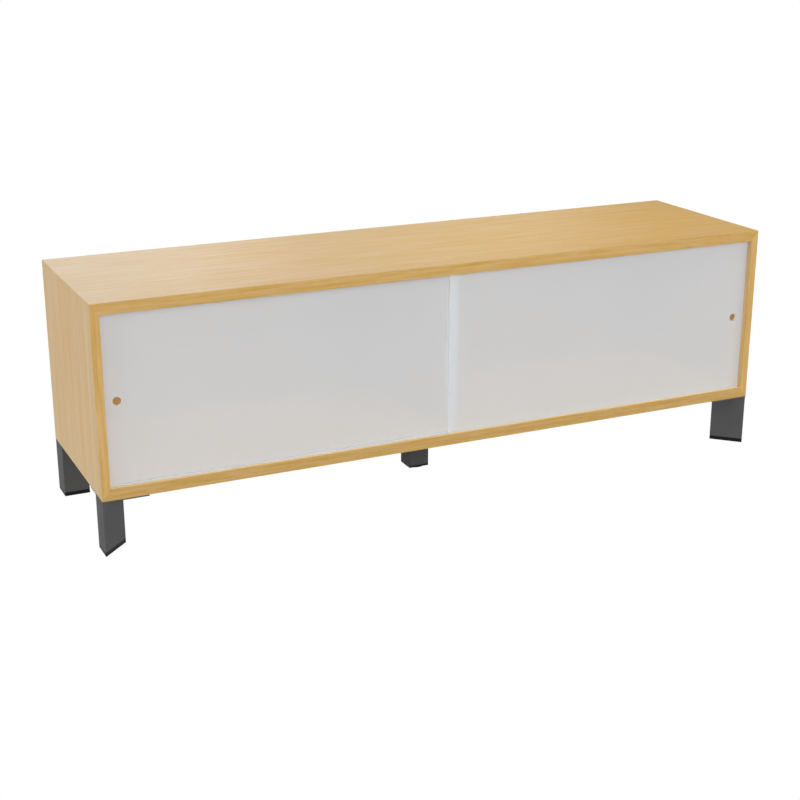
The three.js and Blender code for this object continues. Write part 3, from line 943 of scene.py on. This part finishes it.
@dataclass
class Legs:
    """The coated steel legs, with their welds, caps and the centre glide.

    Attributes:
        plate: Thickness of the plates.
        tube: Length of the equal sides of a corner tube.
        centre_tube: Side of the square centre tube.
        arris: Rounding of the plates' edges.
        cap_arris: Rounding of the foot caps.
        rim_arris: Rounding of the insert's rim.
        bead: Radius of a weld bead.
        bead_sides: A bead's sides.
        bead_inset: How far a bead ends short of the case's faces.
        ripple_pitch: Length of one ripple of a bead.
        ripple_steps: Steps of the bead's line in one ripple.
        ripple_share: How far a ripple stands out, as a share of the bead's radius.
        glide_height: Height of the glide's round foot.
        stem: The glide's stem.
        foot_sides: Sides of the glide's round foot.
        foot_rings: Its rings of corners.
        foot_rounding: How far the foot draws in at the floor, as a share of its radius.
    """

    plate: float = 2.5 * MM
    tube: float = 58 * MM
    centre_tube: float = 49 * MM
    arris: float = 0.5 * MM
    cap_arris: float = 0.8 * MM
    rim_arris: float = 0.4 * MM
    bead: float = 1.8 * MM
    bead_sides: int = 10
    bead_inset: float = 5 * MM
    ripple_pitch: float = 2.2 * MM
    ripple_steps: float = 4.0
    ripple_share: float = 0.14
    glide_height: float = 2.2 * MM
    stem: Thread = Thread(3.35 * MM, 3.95 * MM, 1.25 * MM, 24)
    foot_sides: int = 72
    foot_rings: int = 12
    foot_rounding: float = 0.06

    def build(self) -> None:
        """Builds the legs and what is fixed to them."""
        coat = CoatFinish("powder_coat", (0.091, 0.091, 0.092), **COATING).build()
        black = CoatFinish("black_plastic", (0.006, 0.006, 0.0065), 0.4).build()
        for corner in ("front_left", "front_right", "rear_left", "rear_right"):
            self.softened(f"{corner}_leg", coat, "leg_coating", self.arris)
            self.softened(f"{corner}_foot_cap", black, "black_plastic", self.cap_arris)
        # Painted shade: the centre leg stands under the case, and its coat is painted darker than the corner
        # legs' to stand for the shade that falls there.
        coat_with_painted_shade = CoatFinish("coat_with_painted_shade", (0.056, 0.056, 0.057), **COATING).build()
        self.softened("centre_leg", coat_with_painted_shade, "leg_coating", self.arris)
        self.softened("centre_leg_insert", black, "black_plastic", self.rim_arris)
        self.welds(coat)
        self.glide(black)

    def softened(self, node: str, material: Material, slot: str, width: float) -> None:
        """Makes a copy of a CAD node with rounded edges.

        Args:
            node: The CAD node that it stands for.
            material: Its material.
            slot: The record's material slot.
            width: How far the rounding reaches.
        """
        shell = shell_of(node)
        soften(shell, width, lambda edge: edge.calc_length() > 2 * width)
        settle(object_from(shell, f"{node}_finished", material), "case", slot, node)

    def welds(self, coat: Material) -> None:
        """Lays a rippled bead along the inner faces of each corner tube and round the centre tube.

        Args:
            coat: The coating that covers the beads too.
        """
        points, lines = [], []
        nodes = "front_left_leg", "centre_leg"
        corner_height, centre_height = (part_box(node)[1].z - self.plate for node in nodes)
        near, far = self.bead_inset, self.tube
        for x in (-1, 1):
            for y in (-1, 1):
                corner = Vector((x * CAD_BOX[1].x, y * CAD_BOX[1].y, corner_height))
                route = (near, near), (far, far), (near, far)
                first = len(points)
                points += [tuple(corner + Vector((-x * run, -y * depth, 0))) for run, depth in route]
                lines += [(first, first + 1), (first + 1, first + 2)]
        half, first = self.centre_tube / 2, len(points)
        points += [(x * half, y * half, centre_height) for x, y in SQUARE]
        lines += [(first + i, first + (i + 1) % 4) for i in range(4)]
        rig = NodeRig("weld_beads")
        bead = rig.ask("Bead Radius", self.bead)
        pitch = rig.ask("Ripple Pitch", self.ripple_pitch)
        share = rig.ask("Ripple Share", self.ripple_share)
        sides = rig.ask("Sides", self.bead_sides)
        line = rig.make("GeometryNodeMeshToCurve", {0: rig.entry.outputs[0]})
        step = rig.sums("DIVIDE", pitch, self.ripple_steps)
        even = rig.make("GeometryNodeResampleCurve", {"Curve": line, "Length": step}, mode="LENGTH")
        along = rig.add("GeometryNodeSplineParameter").outputs["Length"]
        wave = rig.sums("SINE", rig.sums("MULTIPLY", rig.sums("DIVIDE", along, pitch), math.tau))
        girth = rig.sums("MULTIPLY", bead, rig.sums("MULTIPLY_ADD", wave, share, 1.0))
        piece = rig.run(rig.swept(even, girth, sides), coat, points, lines)
        settle(piece, "case", "leg_coating")

    def glide(self, black: Material) -> None:
        """Turns the round foot on its threaded stem.

        Args:
            black: The plastic of foot and stem.
        """
        low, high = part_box("centre_glide")
        rig = NodeRig("centre_glide_turned")
        sides = rig.ask("Sides", self.foot_sides)
        foot_height = rig.ask("Foot Height", self.glide_height)
        foot_radius = rig.ask("Foot Radius", high.x)
        rounding = rig.ask("Rounding Share", self.foot_rounding)
        stem_length = rig.ask("Stem Length", high.z - low.z - self.glide_height)
        foot = rig.turned(foot_height, self.foot_rings, foot_radius, rounding, sides, lower=True)
        stem = self.stem.build(rig, stem_length, foot_height, foot_height)
        piece = rig.run(rig.stood([foot, *stem]), black, [(0.0, 0.0, low.z)])
        settle(piece, "centre_glide", "black_plastic", "centre_glide")


@dataclass
class PlateScrews:
    """The pan head screws that hold the legs' plates.

    Attributes:
        head_radius: Radius of a head.
        head_height: Height of a head.
        crown_share: How far the head draws in towards its crown, as a share of its radius.
        thread: The thread of the shank.
        length: From under the head to the tip.
        tip: Length of the tip.
        recess_length: Length of each arm pair of the cross recess.
        recess_width: Width of an arm.
        recess_depth: Depth of the recess.
        head_sides: A head's sides.
        head_rings: Its rings of corners.
        point: Radius of the tip's blunt point.
        seed: Seed of the screws' turns.
    """

    head_radius: float = 4.5 * MM
    head_height: float = 2.8 * MM
    crown_share: float = 0.45
    thread: Thread = Thread(1.7 * MM, 2.25 * MM, 1.8 * MM, 20)
    length: float = 16 * MM
    tip: float = 4 * MM
    recess_length: float = 4.4 * MM
    recess_width: float = 0.9 * MM
    recess_depth: float = 1.6 * MM
    head_sides: int = 28
    head_rings: int = 9
    point: float = 0.1 * MM
    seed: int = 7

    def head(self, rig: NodeRig) -> Socket:
        """Makes a crowned head with a cross recess.

        Args:
            rig: The tree to add to.

        Returns:
            The head, hanging below the origin.
        """
        radius = rig.ask("Head Radius", self.head_radius)
        crown = rig.ask("Crown Share", self.crown_share)
        sides = rig.ask("Sides", self.head_sides)
        width = rig.ask("Recess Width", self.recess_width)
        length = rig.ask("Recess Length", self.recess_length)
        both_ways = rig.sums("MULTIPLY", rig.ask("Recess Depth", self.recess_depth), 2.0)
        drop = rig.sums("MULTIPLY", rig.ask("Head Height", self.head_height), -1.0)
        dome = rig.turned(drop, self.head_rings, radius, crown, sides, lower=False)
        arms = []
        for x, y in ((length, width), (width, length)):
            size = rig.make("ShaderNodeCombineXYZ", {0: x, 1: y, 2: both_ways})
            arms.append(rig.lifted(rig.make("GeometryNodeMeshCube", {"Size": size}), drop))
        solids = {"Mesh 1": dome, "Mesh 2": arms}
        return rig.make("GeometryNodeMeshBoolean", solids, operation="DIFFERENCE", solver="EXACT")

    def shank(self, rig: NodeRig) -> list[Socket]:
        """Makes the threaded shank and its tip.

        Args:
            rig: The tree to add to.

        Returns:
            The shank, the tip and the thread, standing above the origin.
        """
        straight = rig.ask("Straight Length", self.length - self.tip)
        start = rig.ask("Thread Start", self.thread.pitch)
        rod, ridge = self.thread.build(rig, straight, 0.0, start)
        cone = {
            "Vertices": self.thread.sides,
            "Radius Top": self.point,
            "Radius Bottom": self.thread.core,
            "Depth": rig.ask("Tip Length", self.tip),
        }
        return [rod, rig.lifted(rig.make("GeometryNodeMeshCone", cone), straight), ridge]

    def build(self) -> None:
        """Stands one screw, turned at random, at each CAD screw."""
        nodes = [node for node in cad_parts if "_screw_" in node]
        places = []
        for node in nodes:
            low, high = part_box(node)
            places.append(((low.x + high.x) / 2, (low.y + high.y) / 2, low.z + self.head_height))
        zinc = CoatFinish("zinc_plate", (0.62, 0.64, 0.66), 0.28, metallic=1.0, gloss=0.5).build()
        rig = NodeRig("plate_screws")
        random = {"Seed": rig.ask("Seed", self.seed), 3: math.tau}
        turn = rig.add("FunctionNodeRandomValue", random, data_type="FLOAT").outputs[1]
        screws = rig.stood([self.head(rig), *self.shank(rig)], turn)
        settle(rig.run(screws, zinc, places), "case", "zinc_screws", *nodes)


# The studio


@dataclass(frozen=True)
class FarLight:
    """A large soft light, so far off that it lights every part of the cabinet alike.

    Attributes:
        name: Its name.
        heading: Where it stands, in degrees from straight behind the cabinet towards its right.
        height: How high it stands, in degrees above the floor.
        spread: How wide it looks from the cabinet, in degrees.
        level: How bright it makes a white surface that faces it, where 1 is plain white.
        mirrored: Whether the cabinet's gloss shows it.
        stops_at_doors: Whether the doors keep it off the back and the partition.
    """

    name: str
    heading: float
    height: float
    spread: float
    level: float
    mirrored: bool = True
    stops_at_doors: bool = False

    def build(self) -> Object:
        """Hangs the light and aims it.

        Returns:
            The hung light.
        """
        turn, lift = math.radians(self.heading), math.radians(self.height)
        source = Vector((math.sin(turn) * math.cos(lift), math.cos(turn) * math.cos(lift), math.sin(lift)))
        lamp = bpy.data.lights.new(self.name, "SUN")
        lamp.energy = self.level * math.pi
        lamp.angle = math.radians(self.spread)
        placed = put(self.name, lamp, source, -source)
        placed.visible_glossy = self.mirrored
        return placed


@dataclass(frozen=True)
class NearLight:
    """A large soft box that hangs over one end of the top and lights it more than the other end.

    Attributes:
        name: Its name.
        place: Where it hangs.
        reach: How far below it the top lies.
        sides: Its width and its depth.
        level: How bright it makes a white surface right under it, where 1 is plain white.
    """

    name: str
    place: Point
    reach: float
    sides: tuple[float, float]
    level: float

    def build(self) -> None:
        """Hangs the light, facing down."""
        lamp = bpy.data.lights.new(self.name, "AREA")
        lamp.shape = "RECTANGLE"
        lamp.size, lamp.size_y = self.sides
        lamp.energy = self.level * (math.pi * self.reach) ** 2
        put(self.name, lamp, self.place).visible_camera = False


@dataclass(frozen=True)
class Studio:
    """A white floor, even light and a camera where the photographer stood.

    Attributes:
        eye: The camera's place.
        gaze: The direction that it looks in.
        lens: Its focal length in millimetres.
        sensor: The width of its sensor in millimetres.
        clip: The nearest and the farthest that it sees, in metres.
        floor_reach: Half the side of the floor.
        backdrop: How bright the floor and the room look to the camera.
        floor_glow: How bright the floor is to the cabinet.
        floor_mirrored: How bright the floor is in the cabinet's gloss.
        sky: How bright the room is to the cabinet.
        shift: How far the picture's middle lies from the gaze, as shares of its width.
        lights: The far soft lights.
        top_light: The soft box over the top.
        inner_light: The light that falls through the doors on the inside of the case.
        deep_nodes: What the lights that stop at the doors don't reach.
    """

    eye: Point = (-1.4335, -2.9719, 1.2680)
    gaze: Point = (0.4030, 0.8581, -0.3182)
    lens: float = 66.67
    sensor: float = 36.0
    clip: tuple[float, float] = (0.05, 300.0)
    floor_reach: float = 60.0
    backdrop: float = 1.0
    floor_glow: float = 0.34
    floor_mirrored: float = 0.68
    sky: float = 0.12
    shift: tuple[float, float] = (-0.0002, 0.00025)
    lights: tuple[FarLight, ...] = (
        FarLight("front", -172.0, 9.0, 40.0, 0.51, stops_at_doors=True),
        FarLight("front_right", 140.0, 10.0, 50.0, 0.39),
        FarLight("front_left", -135.0, 8.0, 50.0, 0.12),
        FarLight("left", -92.0, 6.0, 60.0, 0.59, mirrored=False),
        FarLight("back", -4.0, 14.0, 72.0, 0.165),
        FarLight("back_left", -14.0, 16.0, 66.0, 0.25),
        FarLight("overhead", 0.0, 90.0, 60.0, 0.08),
    )
    top_light: NearLight = NearLight("over_the_right", (0.55, -0.05, 1.53), 1.0, (1.8, 0.8), 1.00)
    inner_light: FarLight = FarLight("through_the_doors", -178.0, 35.0, 20.0, 1.05)
    deep_nodes: tuple[str, ...] = ("back_panel", "centre_partition", "partition_lipping")

    def camera(self) -> None:
        """Sets the camera up."""
        data = bpy.data.cameras.new("camera")
        data.lens = self.lens
        data.sensor_width = self.sensor
        data.clip_start, data.clip_end = self.clip
        data.shift_x, data.shift_y = self.shift
        bpy.context.scene.camera = put("camera", data, self.eye, Vector(self.gaze))

    def glow(self, pad: NodePad, shader: Node, cast: float, mirrored: float) -> None:
        """Makes a light source look plain white to the camera and throw less than that on the cabinet.

        Args:
            pad: The tree that holds the shader.
            shader: The emission or background shader.
            cast: The brightness that lights the cabinet.
            mirrored: The brightness that the cabinet's gloss shows.
        """
        path = pad.add("ShaderNodeLightPath")
        strength = cast
        for way, level in (("Is Glossy Ray", mirrored), ("Is Camera Ray", self.backdrop)):
            inputs = {0: path.outputs[way], 3: strength, 4: level}
            strength = pad.make("ShaderNodeMapRange", inputs)
        pad.tree.links.new(strength, shader.inputs["Strength"])

    def floor(self) -> None:
        """Lays a plain white floor that throws its own even light, and can be seen through from below."""
        mesh = bpy.data.meshes.new("floor")
        reach = self.floor_reach
        mesh.from_pydata([(x * reach, y * reach, 0) for x, y in SQUARE], [], [(0, 1, 2, 3)])
        sheet = NodeSheet("floor_white")
        light = sheet.add("ShaderNodeEmission")
        self.glow(sheet, light, self.floor_glow, self.floor_mirrored)
        below = sheet.add("ShaderNodeNewGeometry").outputs["Backfacing"]
        clear = sheet.make("ShaderNodeBsdfTransparent")
        both = sheet.add("ShaderNodeMixShader", {0: below, 1: light.outputs[0], 2: clear})
        mesh.materials.append(sheet.surface(both))
        put("floor", mesh)

    def room(self) -> None:
        """Lights the room evenly from all round."""
        world = bpy.data.worlds.new("room")
        world.use_nodes = True
        background = world.node_tree.nodes["Background"]
        background.inputs["Color"].default_value = (1, 1, 1, 1)
        self.glow(NodePad(world.node_tree), background, self.sky, self.sky)
        bpy.context.scene.world = world

    def build(self) -> None:
        """Sets up the camera, the floor, the lights and plain colour handling."""
        self.camera()
        self.floor()
        self.room()
        for light in self.lights:
            light.build()
        self.top_light.build()
        bpy.context.scene.view_settings.view_transform = "Standard"
        bpy.context.scene.view_settings.look = "None"

    def light_inside(self, boards: Sequence[Object]) -> None:
        """Hangs the inner light, and keeps the front light off what stands deep in the case.

        Args:
            boards: The boards round the inside, which alone the inner light reaches.
        """
        inside = bpy.data.collections.new("inside_of_the_case")
        for board in boards:
            inside.objects.link(board)
        self.inner_light.build().light_linking.receiver_collection = inside
        deep = bpy.data.collections.new("deep_in_the_case")
        for node in self.deep_nodes:
            deep.objects.link(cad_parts[node])
        for member in deep.collection_objects:
            member.light_linking.link_state = "EXCLUDE"
        for light in self.lights:
            if light.stops_at_doors:
                bpy.data.objects[light.name].light_linking.receiver_collection = deep


def main() -> None:
    """Builds the cabinet from the case outwards and reports each piece."""
    logging.basicConfig(level=logging.INFO, format="%(name)s: %(message)s")
    studio = Studio()
    studio.build()
    studio.light_inside(Case().build())
    SlidingDoors().build()
    Legs().build()
    PlateScrews().build()


if __name__ == "__main__":
    main()
